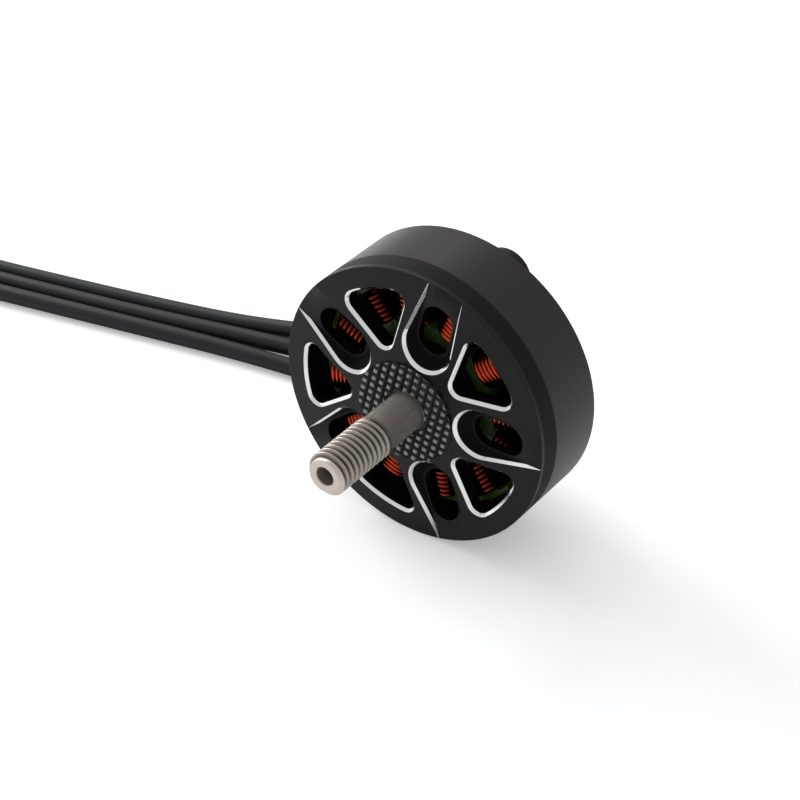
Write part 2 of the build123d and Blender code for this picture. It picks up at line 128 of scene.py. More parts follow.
class MotorSizes(bpy.types.PropertyGroup):
    """Sizes of the pieces that are modelled here."""

    thread_pitch: length("Thread pitch", "Height that the shaft's thread climbs in one turn", 0.8)
    thread_depth: length("Thread depth", "From the thread's crest to its root", 0.46)
    thread_start: length("Thread start", "Height at which the shaft's neck meets the thread", 23.9)
    thread_collar: length("Thread collar", "Plain band between the neck and the first groove", 0.45)
    neck_radius: length("Neck radius", "Radius of the shaft between the hub and the thread", 2.34)
    rim_height: length("Rim height", "Height of the bell cap's face at its rim", 17.1)
    hub_radius: length("Hub radius", "Radius of the flat hub that the cap's face rises to", 6.15)
    bare_depth: length("Bare depth", "How far below the cap's face its cut edges show bare metal", 0.34)
    tip_chamfer: length("Tip chamfer", "Chamfer at the shaft's tip", 0.5)
    bore_radius: length("Bore radius", "Radius of the hole along the shaft", 1.1)
    screw_radius: length("Screw radius", "Radius of the screw in the shaft's rear end", 1.26)
    screw_depth: length("Screw depth", "Depth of the screw's hole in the shaft's rear end", 6.0)
    knurl_pitch: length("Knurl pitch", "Distance between neighbouring points of the knurl", 1.02)
    knurl_height: length("Knurl height", "Height of the knurl's points above the hub", 0.34)
    knurl_radius: length("Knurl radius", "Outer radius of the knurled disc", 6.12)
    knurl_turn: angle("Knurl turn", "Direction of the knurl's rows", -13.3)
    strand: length("Winding wire", "Diameter of the enamelled wire, over its enamel", 0.58)
    stator_turn: angle("Stator turn", "Direction of the first stator tooth", 9.0)
    coil_inner: length("Coil inner end", "Distance from the axis to a coil's inner end", 8.75)
    coil_outer: length("Coil outer end", "Distance from the axis to a coil's outer end", 12.95)
    tooth_width: length("Tooth width", "Width of a stator tooth over its epoxy coat", 2.6)
    epoxy_edge: length("Epoxy edge", "Rounding that the epoxy coat gives the stator's edges", 0.22)
    lead_diameter: length("Lead diameter", "Outside diameter of a lead's insulation", 2.2)
    lead_pitch: length("Lead pitch", "Distance between the leads where they leave the base", 2.7)
    lead_start: length("Lead start", "Distance from the axis to the leads' inner ends", 7.0)
    lead_straight: length("Lead straight", "Straight way out of the base", 11.0)
    lead_height: length("Lead height", "Height of the leads where they leave the base", 2.9)
    lead_turn: angle("Lead direction", "Direction in which the leads leave the base", 216.7)
    sleeve_wall: length("Sleeve wall", "Wall of the shrunk sleeves on the leads", 0.18)
    sleeve_length: length("Sleeve length", "Length of the shrunk sleeves on the leads", 6.0)
    tinned_length: length("Tinned length", "Bare strands at the leads' far ends", 5.0)
    tinned_strand: length("Tinned strand", "Radius of one bare strand", 0.205)


class MotorColours(bpy.types.PropertyGroup):
    """Colours of the finishes."""

    anodised: colour("Anodised black", "Bell cap and base", 0.008, 0.0082, 0.0086)
    # These points are lighter partly from handling and partly as a painted highlight on the knurl's tips.
    worn_and_highlit: colour("Worn points", "Worn points of the knurl", 0.26, 0.26, 0.26)
    coated_steel: colour("Coated steel", "Flux ring", 0.014, 0.012, 0.0128)
    cut_metal: colour("Cut aluminium", "Bevels cut through the anodised skin", 0.95, 0.95, 0.94)
    shaft_steel: colour("Shaft steel", "Shaft and its thread", 0.41, 0.366, 0.33)
    enamel: colour("Copper enamel", "Winding wire", 0.5, 0.058, 0.023)
    epoxy: colour("Stator epoxy", "Coat on the stator core", 0.06, 0.12, 0.034)
    silicone: colour("Silicone", "Lead insulation", 0.0095, 0.0115, 0.013)
    tinned: colour("Tinned copper", "Bare strands at the leads' far ends", 0.42, 0.42, 0.41)
    magnet: colour("Magnet plating", "Plating on the magnets", 0.16, 0.155, 0.15)
    bearing: colour("Bearing steel", "Bearings, hub spacer and shaft washer", 0.66, 0.66, 0.66)
    fastener: colour("Fastener steel", "Retaining screw", 0.3, 0.3, 0.31)
    cage: colour("Cage polymer", "Cages of the bearings", 0.35, 0.27, 0.16)
    floor: colour("Floor", "Floor under the motor", 0.86, 0.87, 0.875)


class StudioSettings(bpy.types.PropertyGroup):
    """Camera, lamps and surround."""

    azimuth: angle("Azimuth", "Direction of the camera round the motor", 35.58)
    elevation: angle("Elevation", "Camera angle above the horizon", 34.87)
    distance: length("Distance", "Camera distance from the bell's rim plane", 243.455)
    aim_height: length("Aim height", "Height of the rim plane that the camera is set from", 16.8)
    aim_right: length("Aim right", "How far right of the rim's centre the camera stands", -1.353)
    aim_up: length("Aim up", "How far above the rim's centre the camera stands", 0.638)
    lens: FloatProperty(
        name="Focal length", description="Focal length on a 36 mm sensor", default=99.82, unit="CAMERA"
    )
    overhead: power("Overhead lamp", "Power of the lamp above and behind", 0.4)
    side: power("Side lamp", "Power of the lamp at the side", 1.8)
    surround: share("Surround", "Strength of the white surround on the object", 0.8)
    floor_glow: share("Floor glow", "White that the camera sees over the floor's own colour", 0.3)


# --- Small modelling helpers ---------------------------------------------------------------------
def add_piece(name, bm, materials, body, replaces=(), smooth=32):
    """Makes a piece of the object from a bmesh and gives it its body and materials."""
    mesh = bpy.data.meshes.new(name)
    bm.to_mesh(mesh)
    bm.free()
    mesh.shade_smooth()
    mesh.set_sharp_from_angle(angle=radians(smooth))
    for material in materials:
        mesh.materials.append(material)
    piece = bpy.data.objects.new(name, mesh)
    bpy.context.scene.collection.objects.link(piece)
    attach(piece, body)
    if replaces:
        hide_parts(*replaces)
    return piece


def smooth_line(name, points, spline_type):
    """A 3-D curve of one open spline on the points."""
    line = bpy.data.curves.new(name, "CURVE")
    line.dimensions = "3D"
    line.resolution_u = 16
    spline = line.splines.new(spline_type)
    spline.points.add(len(points) - 1)
    for point, place in zip(spline.points, points):
        point.co = (*place, 1)
    if spline_type == "NURBS":
        spline.order_u = 3
        spline.use_endpoint_u = True
    return line


def add_tube(line, radius, resolution, material, node):
    """Thickens a line to a closed tube and makes it a piece that stands for a stator node."""
    line.bevel_depth = radius
    line.bevel_resolution = resolution
    line.use_fill_caps = True
    line.materials.append(material)
    tube = bpy.data.objects.new(line.name, line)
    bpy.context.scene.collection.objects.link(tube)
    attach(tube, "stator")
    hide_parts(node)
    return tube


def half_section(bm, outline, closed=True):
    """Adds a half section of (radius, height) points and returns its vertices and edges."""
    corners = [bm.verts.new((radius, 0, height)) for radius, height in outline]
    ends = corners[1:] + corners[:1] if closed else corners[1:]
    return corners + [bm.edges.new(pair) for pair in zip(corners, ends)]


def spin_round(bm, geometry, segments):
    """Spins geometry a full turn about the height axis."""
    bmesh.ops.spin(
        bm,
        geom=geometry,
        cent=(0, 0, 0),
        axis=(0, 0, 1),
        angle=tau,
        steps=segments,
        use_merge=True,
        use_duplicate=False,
    )


def bevel_sharp(bm, offset, segments):
    """Rounds the edges at which two faces meet at more than 30 degrees."""
    sharp = [e for e in bm.edges if len(e.link_faces) == 2 and e.calc_face_angle() > radians(30)]
    bmesh.ops.bevel(
        bm,
        geom=sharp,
        offset=offset,
        offset_type="OFFSET",
        segments=segments,
        profile=0.5,
        affect="EDGES",
        clamp_overlap=True,
        material=-1,
    )


def merged_copy(node):
    """A bmesh copy of a CAD node's mesh, with its loose triangles joined into whole faces."""
    bm = bmesh.new()
    bm.from_mesh(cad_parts[node].data)
    bmesh.ops.remove_doubles(bm, verts=bm.verts, dist=0.0005 * MM)
    bmesh.ops.dissolve_limit(
        bm, angle_limit=radians(0.4), use_dissolve_boundaries=False, verts=bm.verts, edges=bm.edges
    )
    return bm


# --- Shader helpers ------------------------------------------------------------------------------
# The Mix node's colour sockets share their names with its number sockets.
MIX_COLOUR_A, MIX_COLOUR_B, MIX_COLOUR_RESULT = 6, 7, 2


class Level:
    """A number that varies over a surface. Arithmetic on it adds the matching Math nodes."""

    def __init__(self, tree, socket):
        self.tree = tree
        self.socket = socket

    def math(self, operation, *operands):
        """A Math node on this level and the operands."""
        return self.tree.node("ShaderNodeMath", {"operation": operation}, [self, *operands])

    def __add__(self, other):
        return self.math("ADD", other)

    def __sub__(self, other):
        return self.math("SUBTRACT", other)

    def __mul__(self, other):
        return self.math("MULTIPLY", other)

    def __rsub__(self, other):
        return self.tree.node("ShaderNodeMath", {"operation": "SUBTRACT"}, [other, self])

    __radd__ = __add__
    __rmul__ = __mul__

    def band(self, low, high):
        """0 below low, 1 above high and smooth between."""
        return self.tree.node(
            "ShaderNodeMapRange",
            {"interpolation_type": "SMOOTHSTEP"},
            {"Value": self, "From Min": low, "From Max": high},
        )


class NodeTree:
    """A material's or a world's nodes, which all come from one method."""

    def __init__(self, owner):
        owner.use_nodes = True
        self.nodes, self.links = owner.node_tree.nodes, owner.node_tree.links
        self.nodes.clear()

    def node(self, kind, settings, inputs, output=0):
        """Adds a node, sets it, fills its sockets with values or links, and returns an output.

        With no output, it returns the node itself.
        """
        node = self.nodes.new(kind)
        for name, value in settings.items():
            setattr(node, name, value)
        pairs = inputs.items() if isinstance(inputs, dict) else enumerate(inputs)
        for key, value in pairs:
            self.fill(node.inputs[key], value)
        return node if output is None else Level(self, node.outputs[output])

    def fill(self, socket, value):
        """Links a level to a socket, or sets the socket's own value."""
        if isinstance(value, Level):
            self.links.new(value.socket, socket)
        else:
            socket.default_value = value


class Finish(NodeTree):
    """One procedural material, built from a Principled shader."""

    def __init__(self, name, **constants):
        self.material = bpy.data.materials.new(name)
        super().__init__(self.material)
        self.surface = self.node("ShaderNodeBsdfPrincipled", {}, {}, None)
        self.shown = Level(self, self.surface.outputs["BSDF"])
        self.output = self.node("ShaderNodeOutputMaterial", {}, {"Surface": self.shown}, None)
        self.set(constants)

    def set(self, values):
        """Fills the Principled shader's sockets, with underscores for the spaces in their names."""
        for name, value in values.items():
            if name in ("Base_Color", "Specular_Tint"):
                value = colour_of(value)
            self.fill(self.surface.inputs[name.replace("_", " ")], value)

    def place(self):
        """The point in the part's frame."""
        return self.node("ShaderNodeTexCoord", {}, {}, "Object")

    def stretched(self, x, y, z):
        """The point in the part's frame, scaled along each axis."""
        return self.node("ShaderNodeMapping", {}, {"Vector": self.place(), "Scale": (x, y, z)})

    def grain(self, size, detail=3, stretch=(1, 1, 1)):
        """Noise between 0 and 1 whose blotches are about as large as size."""
        return self.node(
            "ShaderNodeTexNoise",
            {},
            {
                "Vector": self.stretched(*stretch),
                "Scale": 1 / size,
                "Detail": detail,
                "Roughness": 0.55,
            },
            "Fac",
        )

    def axis_parts(self):
        """Distance from the shaft's axis, and the height."""
        parts = self.node("ShaderNodeSeparateXYZ", {}, [self.place()], None)
        x, y, z = (Level(self, parts.outputs[axis]) for axis in "XYZ")
        return (x * x + z * z).math("SQRT"), y * -1

    def depth_below_face(self, sizes):
        """How far a point lies below the bell cap's conical face."""
        radius, height = self.axis_parts()
        return (BELL_RADIUS - radius) * cone_slope(sizes) + sizes.rim_height - height

    def blend(self, factor, low, high):
        """A colour between two colours, each of three numbers or a level."""
        mix = {"Factor": factor, MIX_COLOUR_A: colour_of(low), MIX_COLOUR_B: colour_of(high)}
        return self.node("ShaderNodeMix", {"data_type": "RGBA"}, mix, MIX_COLOUR_RESULT)

    def bump(self, height, distance):
        """Feeds a height to the Normal through a Bump node."""
        normal = self.node("ShaderNodeBump", {}, {"Height": height, "Distance": distance})
        self.set({"Normal": normal})


def cone_slope(sizes):
    """How much the bell cap's face rises for each unit towards the hub."""
    return (HUB_HEIGHT - sizes.rim_height) / (BELL_RADIUS - sizes.hub_radius)


def colour_of(value):
    """A colour as the four numbers of a socket, or a level as it is."""
    return value if isinstance(value, Level) else (*value, 1)


def shade(value, factor):
    """A colour made darker or lighter."""
    return tuple(min(1, part * factor) for part in value)


# --- Finishes ------------------------------------------------------------------------------------
def anodised_finish(name, skin, roughness, sizes=None):
    """Fine satin anodised skin on turned aluminium. With the cap's sizes, it gets painted shade in its
    recesses.
    """
    finish = Finish(name, Specular_IOR_Level=0.18)
    radius, height = finish.axis_parts()
    turning = finish.node(
        "ShaderNodeTexNoise",
        {"noise_dimensions": "1D"},
        {"W": radius + height, "Scale": 1 / (0.09 * MM), "Detail": 2},
        "Fac",
    )
    cloud = finish.grain(4 * MM)
    tone = finish.blend(cloud, shade(skin, 0.85), shade(skin, 1.2))
    roughness = roughness + (cloud - 0.5) * 0.08 + (turning - 0.5) * 0.06
    if sizes:
        # Painted shade: darker and rougher where the skin lies deep below the cap's face.
        painted_recess_shade = finish.depth_below_face(sizes).band(0.35 * MM, 0.8 * MM)
        tone = finish.blend(painted_recess_shade, tone, shade(skin, 0.3))
        roughness = roughness + painted_recess_shade * 0.3
    finish.set({"Base_Color": tone, "Roughness": roughness})
    finish.bump(turning * 0.6 + finish.grain(0.06 * MM) * 0.4, 0.0016 * MM)
    return finish.material


def cut_metal_finish(skin, anodised, sizes):
    """Bare cut aluminium down to a small depth below the cap's face; below that, anodised and painted
    darker as shade.
    """
    finish = Finish("cut_aluminium", Specular_IOR_Level=0.06)
    marks = finish.grain(0.05 * MM, 2, (1, 0.2, 1))
    edge = finish.depth_below_face(sizes) + marks * 0.02 * MM
    # Painted shade: below the bare band, the anodised walls are darker than the skin.
    shaded_anodised_wall = edge.band(sizes.bare_depth - 0.01 * MM, sizes.bare_depth + 0.02 * MM)
    bare = finish.blend(marks, shade(skin, 0.9), skin)
    finish.set(
        {
            "Base_Color": finish.blend(shaded_anodised_wall, bare, shade(anodised, 0.35)),
            "Metallic": 1 - shaded_anodised_wall,
            "Roughness": 0.12 + marks * 0.1 + shaded_anodised_wall * 0.4,
        }
    )
    finish.bump(marks, 0.002 * MM)
    return finish.material


def knurl_finish(anodised, worn_and_highlit, sizes):
    """Anodised knurl whose points are a lighter grey, partly from handling and partly as a painted
    highlight.
    """
    finish = Finish("anodised_knurl", Specular_IOR_Level=0.3)
    marks = finish.grain(0.12 * MM, 2)
    raised = finish.axis_parts()[1] - HUB_HEIGHT + (marks - 0.5) * 0.08 * MM
    # The points: partly wear from handling, partly a painted highlight on each tip.
    point = raised.band(0.8 * sizes.knurl_height, 1.15 * sizes.knurl_height)
    finish.set(
        {
            "Base_Color": finish.blend(point, anodised, worn_and_highlit),
            "Metallic": point * 0.8,
            "Roughness": 0.42 - point * 0.14,
        }
    )
    finish.bump(marks, 0.003 * MM)
    return finish.material


def coated_steel_finish(skin):
    """Satin black coat on the flux ring."""
    finish = Finish("coated_steel", Specular_IOR_Level=0.32, Specular_Tint=(1.0, 0.92, 0.95))
    speckle = finish.grain(0.11 * MM, 4)
    cloud = finish.grain(5 * MM)
    finish.set(
        {
            "Base_Color": finish.blend(cloud, shade(skin, 0.85), shade(skin, 1.2)),
            "Roughness": 0.36 + (speckle - 0.5) * 0.16 + (cloud - 0.5) * 0.06,
        }
    )
    finish.bump(speckle, 0.004 * MM)
    return finish.material


def steel_finish(name, skin, roughness, lengthwise=False, groove_shade_radius=0.0):
    """Ground steel, with its marks round the axis or along it; on the thread, painted shade in the grooves
    and a painted highlight at the tip.
    """
    finish = Finish(name, Metallic=0.5 if lengthwise else 1.0)
    stretch = (1, 0.04, 1) if lengthwise else (0.2, 1, 0.2)
    marks = finish.grain(0.09 * MM, 3, stretch)
    cloud = finish.grain(1.2 * MM)
    streaks = 0.15 if lengthwise else 0.4
    tone = finish.blend(cloud * (1 - streaks) + marks * streaks, shade(skin, 0.78), shade(skin, 1.12))
    if groove_shade_radius:
        radius, height = finish.axis_parts()
        # Painted shade in the thread's grooves and in the bore.
        crest = radius.band(groove_shade_radius - 0.2 * MM, groove_shade_radius)
        # Painted highlight: the tip's chamfer and end face are lighter.
        tip = height.band(SHAFT_TIP - 0.5 * MM, SHAFT_TIP - 0.4 * MM)
        tone = finish.blend(crest, shade(skin, 0.42), tone)
        tone = finish.blend(tip, tone, shade(skin, 1.6))
    finish.set(
        {
            "Base_Color": tone,
            "Roughness": roughness + (cloud - 0.5) * 0.12 + (marks - 0.5) * 0.1,
        }
    )
    finish.bump(marks, 0.0005 * MM if lengthwise else 0.0018 * MM)
    return finish.material


def enamel_finish(skin):
    """Copper wire under enamel: a painted highlight along the top of the coil, and painted shade, dark red,
    where it lies deep.
    """
    finish = Finish("copper_enamel", Metallic=1.0)
    cloud = finish.grain(1.4 * MM)
    fine = finish.grain(0.12 * MM, 2)
    off_middle = (finish.axis_parts()[1] - (STATOR_BOTTOM + STATOR_TOP) / 2).math("ABSOLUTE")
    # Painted highlight on the top of the coil and its wires, and painted shade lower on their sides.
    crown_highlight = (off_middle - (STATOR_TOP - STATOR_BOTTOM) / 2).band(1.05 * MM, 1.5 * MM)
    highlit_copper = finish.blend(cloud, shade(skin, 0.85), shade(skin, 1.5))
    finish.set(
        {
            "Base_Color": finish.blend(crown_highlight, shade(skin, 0.26), highlit_copper),
            "Roughness": 0.1 + fine * 0.07,
        }
    )
    finish.bump(fine, 0.003 * MM)
    return finish.material


def epoxy_finish(skin):
    """Glossy epoxy powder coat with a faint orange peel."""
    finish = Finish("stator_epoxy", Coat_Roughness=0.1, Specular_IOR_Level=0.3)
    peel = finish.grain(0.35 * MM, 2)
    cloud = finish.grain(2.5 * MM)
    finish.set(
        {
            "Base_Color": finish.blend(cloud, shade(skin, 0.7), shade(skin, 1.25)),
            "Roughness": 0.3 + peel * 0.1,
            "Coat_Weight": 0.1 + cloud * 0.1,
        }
    )
    finish.bump(peel, 0.03 * MM)
    return finish.material


def silicone_finish(name, skin, roughness, ripple=0.6):
    """Soft black silicone or shrunk sleeve, with a slight ripple."""
    finish = Finish(name, Specular_IOR_Level=0.3)
    cloud = finish.grain(3.5 * MM)
    fine = finish.grain(0.1 * MM, 3)
    finish.set(
        {
            "Base_Color": finish.blend(cloud, shade(skin, 0.8), shade(skin, 1.25)),
            "Roughness": roughness + (cloud - 0.5) * 0.1 + (fine - 0.5) * 0.08,
        }
    )
    finish.bump(fine * 0.4 + finish.grain(1.1 * MM, 2) * ripple, 0.006 * MM)
    return finish.material


def plated_finish(name, skin, roughness):
    """Bright plating over a slightly uneven surface."""
    finish = Finish(name, Metallic=1.0)
    cloud = finish.grain(0.8 * MM)
    finish.set(
        {
            "Base_Color": finish.blend(cloud, shade(skin, 0.85), skin),
            "Roughness": roughness + cloud * 0.12,
        }
    )
    finish.bump(cloud, 0.004 * MM)
    return finish.material


def moulded_finish(name, skin):
    """Moulded polymer."""
    finish = Finish(name)
    fine = finish.grain(0.08 * MM, 3)
    finish.set(
        {
            "Base_Color": finish.blend(fine, shade(skin, 0.85), shade(skin, 1.15)),
            "Roughness": 0.45 + fine * 0.15,
        }
    )
    finish.bump(fine, 0.004 * MM)
    return finish.material


finishes = {}


# --- Operators -----------------------------------------------------------------------------------
class MOTOR_OT_finishes(bpy.types.Operator):
    """Make each finish once, from the colours"""

    bl_idname = "motor.finishes"
    bl_label = "Finishes"

    def execute(self, context):
        sizes = context.scene.motor_sizes
        colours = context.scene.motor_colours
        groove_shade_radius = SHAFT_RADIUS - 0.12 * MM
        finishes.update(
            cap=anodised_finish("anodised_cap", colours.anodised, 0.36, sizes),
            base=anodised_finish("anodised_base", colours.anodised, 0.42),
            cut=cut_metal_finish(colours.cut_metal, colours.anodised, sizes),
            knurl=knurl_finish(colours.anodised, colours.worn_and_highlit, sizes),
            ring=coated_steel_finish(colours.coated_steel),
            shaft=steel_finish("shaft_steel", colours.shaft_steel, 0.36, groove_shade_radius=groove_shade_radius),
            neck=steel_finish("shaft_neck", colours.shaft_steel, 0.22, lengthwise=True),
            enamel=enamel_finish(colours.enamel),
            epoxy=epoxy_finish(colours.epoxy),
            silicone=silicone_finish("lead_silicone", colours.silicone, 0.5),
            sleeve=silicone_finish("shrunk_sleeve", shade(colours.silicone, 1.3), 0.3, ripple=1.2),
            tinned=plated_finish("tinned_wire", colours.tinned, 0.2),
            magnet=plated_finish("magnet_plating", colours.magnet, 0.3),
            bearing=steel_finish("bearing_steel", colours.bearing, 0.2),
            fastener=steel_finish("fastener_steel", colours.fastener, 0.3),
            cage=moulded_finish("cage_polymer", colours.cage),
        )
        return {"FINISHED"}


class MOTOR_OT_stage(bpy.types.Operator):
    """Set the camera, the floor, the lamps and the white surround"""

    bl_idname = "motor.stage"
    bl_label = "Stage"

    def execute(self, context):
        settings = context.scene.motor_studio
        add_camera(context.scene, settings)
        add_floor(context.scene.motor_colours.floor, settings.floor_glow)
        add_lamp("overhead_lamp", (-0.22, 0.16, 0.36), 0.34, settings.overhead)
        add_lamp("side_lamp", (-0.42, 0.05, 0.16), 0.24, settings.side)
        add_surround(context.scene, settings.surround)
        context.scene.view_settings.view_transform = "Standard"
        return {"FINISHED"}


def add_camera(scene, settings):
    """A long lens, turned to the azimuth and elevation, and set from the centre of the bell's rim."""
    camera_data = bpy.data.cameras.new("camera")
    camera_data.lens = settings.lens
    camera_data.sensor_width = 36
    camera_data.clip_start = 0.01
    camera = bpy.data.objects.new("camera", camera_data)
    scene.collection.objects.link(camera)
    turn = Matrix.Rotation(settings.azimuth, 4, "Z") @ Matrix.Rotation(pi / 2 - settings.elevation, 4, "X")
    aim = Vector((0, -settings.aim_height, 0))
    camera.matrix_world = (
        Matrix.Translation(aim)
        @ turn
        @ Matrix.Translation((settings.aim_right, settings.aim_up, settings.distance))
    )
    scene.camera = camera


def add_floor(skin, glow):
    """A pale floor that keeps the object's shadow and is white where no shadow falls."""
    bm = bmesh.new()
    bmesh.ops.create_grid(bm, x_segments=1, y_segments=1, size=2.5)
    bmesh.ops.translate(bm, verts=bm.verts, vec=(0, 0, FLOOR_Z))
    mesh = bpy.data.meshes.new("floor")
    bm.to_mesh(mesh)
    bm.free()
    floor = bpy.data.objects.new("floor", mesh)
    bpy.context.scene.collection.objects.link(floor)
    finish = Finish("floor", Specular_IOR_Level=0.1, Roughness=0.7)
    cloud = finish.grain(0.3)
    finish.set({"Base_Color": finish.blend(cloud, shade(skin, 0.99), skin)})
    seen = finish.node("ShaderNodeLightPath", {}, {}, "Is Camera Ray")
    white = finish.node("ShaderNodeEmission", {}, {"Color": (1, 1, 1, 1), "Strength": seen * glow})
    both = finish.node("ShaderNodeAddShader", {}, [white, finish.shown])
    finish.fill(finish.output.inputs["Surface"], both)
    mesh.materials.append(finish.material)


def add_lamp(name, place, width, watts):
    """A soft square lamp that faces the motor."""
    lamp_data = bpy.data.lights.new(name, "AREA")
    lamp_data.shape = "SQUARE"
    lamp_data.size = width
    lamp_data.energy = watts
    lamp = bpy.data.objects.new(name, lamp_data)
    bpy.context.scene.collection.objects.link(lamp)
    lamp.location = place
    lamp.rotation_euler = (-Vector(place)).to_track_quat("-Z", "Y").to_euler()


def add_surround(scene, strength):
    """An even white surround, at full white where the camera sees it, directly or through glass."""
    world = bpy.data.worlds.new("surround")
    scene.world = world
    tree = NodeTree(world)
    seen = tree.node("ShaderNodeLightPath", {}, {}, "Is Camera Ray")
    seen_through = tree.node("ShaderNodeLightPath", {}, {}, "Is Transmission Ray")
    level = tree.node("ShaderNodeMix", {}, {"Factor": seen + seen_through, "A": strength, "B": 1.0})
    background = tree.node("ShaderNodeBackground", {}, {"Strength": level})
    tree.node("ShaderNodeOutputWorld", {}, {"Surface": background}, None)


# Each lead drops to the floor and lies there beside the others.
FLOOR_RUN = -15.9
LEAD_ROUTES = {
    1: [
        (-27.3, 5.6, -13.0),
        (-40.0, 3.2, -15.0),
        (-53.0, 0.8, -15.7),
        (-66.5, -2.0, FLOOR_RUN),
        (-80.0, -4.9, FLOOR_RUN),
        (-94.5, -6.8, FLOOR_RUN),
        (-109.0, -6.6, FLOOR_RUN),
        (-122.8, -3.9, FLOOR_RUN),
        (-135.4, 1.4, FLOOR_RUN),
        (-146.0, 8.9, FLOOR_RUN),
    ],
    2: [
        (-25.9, 3.2, -14.6),
        (-38.5, 1.2, -15.3),
        (-51.5, -1.5, -15.8),
        (-65.5, -4.4, FLOOR_RUN),
        (-79.5, -7.3, FLOOR_RUN),
        (-94.2, -9.3, FLOOR_RUN),
        (-109.0, -9.3, FLOOR_RUN),
        (-123.2, -6.8, FLOOR_RUN),
        (-136.4, -2.0, FLOOR_RUN),
        (-147.6, 4.0, FLOOR_RUN),
    ],
    3: [
        (-24.6, 0.6, FLOOR_RUN),
        (-37.5, -1.2, FLOOR_RUN),
        (-50.5, -3.9, FLOOR_RUN),
        (-64.5, -6.9, FLOOR_RUN),
        (-79.0, -10.0, FLOOR_RUN),
        (-93.8, -12.1, FLOOR_RUN),
        (-108.6, -12.3, FLOOR_RUN),
        (-123.0, -10.5, FLOOR_RUN),
        (-136.8, -6.6, FLOOR_RUN),
        (-148.6, -1.8, FLOOR_RUN),
    ],
}


def lead_points(number, sizes):
    """Control points of one lead, from inside the base to its far end."""
    outwards = Vector((cos(sizes.lead_turn), 0, sin(sizes.lead_turn)))
    sideways = Vector((-outwards.z, 0, outwards.x))
    start = outwards * sizes.lead_start + sideways * (number - 2) * sizes.lead_pitch
    start.y -= sizes.lead_height
    return [start, start + outwards * sizes.lead_straight] + [
        Vector(point) * MM for point in LEAD_ROUTES[number]
    ]


def points_along(line):
    """Points read along a curve's own smooth line."""
    probe = bpy.data.objects.new("probe", line)
    mesh = bpy.data.meshes.new_from_object(probe)
    points = [vertex.co.copy() for vertex in mesh.vertices]
    bpy.data.objects.remove(probe)
    bpy.data.meshes.remove(mesh)
    return points


class MOTOR_OT_leads(bpy.types.Operator):
    """Lay the three leads, with their shrunk sleeves and tinned ends"""

    bl_idname = "motor.leads"
    bl_label = "Leads"

    def execute(self, context):
        sizes = context.scene.motor_sizes
        for number in LEAD_ROUTES:
            points = lead_points(number, sizes)
            line = smooth_line(f"silicone_lead_{number}", points, "NURBS")
            along = points_along(line)
            radius, node = sizes.lead_diameter / 2, f"motor_lead_{number}"
            lead = add_tube(line, radius, 8, finishes["silicone"], node)
            add_sleeve(number, along, sizes)
            tinned = add_tinned_end(number, points[-1], points[-1] - points[-2], sizes)
        return {"FINISHED"}


def add_sleeve(number, along, sizes):
    """A shrunk sleeve on the first stretch of a lead, drawn in at its outer end."""
    reach, taken = 0, [along[0]]
    for before, point in zip(along, along[1:]):
        reach += (point - before).length
        if reach > sizes.sleeve_length:
            break
        taken.append(point)
    line = smooth_line(f"shrunk_sleeve_{number}", taken, "POLY")
    for place, shrink in ((-1, 0.9), (-2, 0.955), (-3, 0.985)):
        line.splines[0].points[place].radius = shrink
    radius = sizes.lead_diameter / 2 + sizes.sleeve_wall
    add_tube(line, radius, 8, finishes["sleeve"], f"lead_sleeve_{number}")


def add_tinned_end(number, place, direction, sizes):
    """Seven twisted strands that stand out of a lead's far end."""
    bm = bmesh.new()
    steps, twist = 14, radians(150)
    outer_strands, lay = 6, 1.98 * sizes.tinned_strand
    for strand, orbit in enumerate([0] + [lay] * outer_strands):
        turn = Matrix.Rotation(strand * tau / outer_strands, 4, "Z")
        centre = turn @ Matrix.Translation((orbit, 0, 0))
        ring = bmesh.ops.create_circle(
            bm, cap_ends=False, segments=10, radius=sizes.tinned_strand, matrix=centre
        )
        edges = list({e for v in ring["verts"] for e in v.link_edges})
        bmesh.ops.spin(
            bm,
            geom=ring["verts"] + edges,
            cent=(0, 0, 0),
            axis=(0, 0, 1),
            dvec=(0, 0, sizes.tinned_length / steps),
            angle=twist,
            steps=steps,
            use_duplicate=False,
        )
    bmesh.ops.holes_fill(bm, edges=bm.edges, sides=0)
    bmesh.ops.recalc_face_normals(bm, faces=bm.faces)
    turn = direction.to_track_quat("Z", "Y").to_matrix().to_4x4()
    bm.transform(Matrix.Translation(place) @ turn)
    return add_piece(
        f"tinned_strands_{number}",
        bm,
        [finishes["tinned"]],
        "stator",
        replaces=[f"tinned_end_{number}"],
        smooth=50,
    )


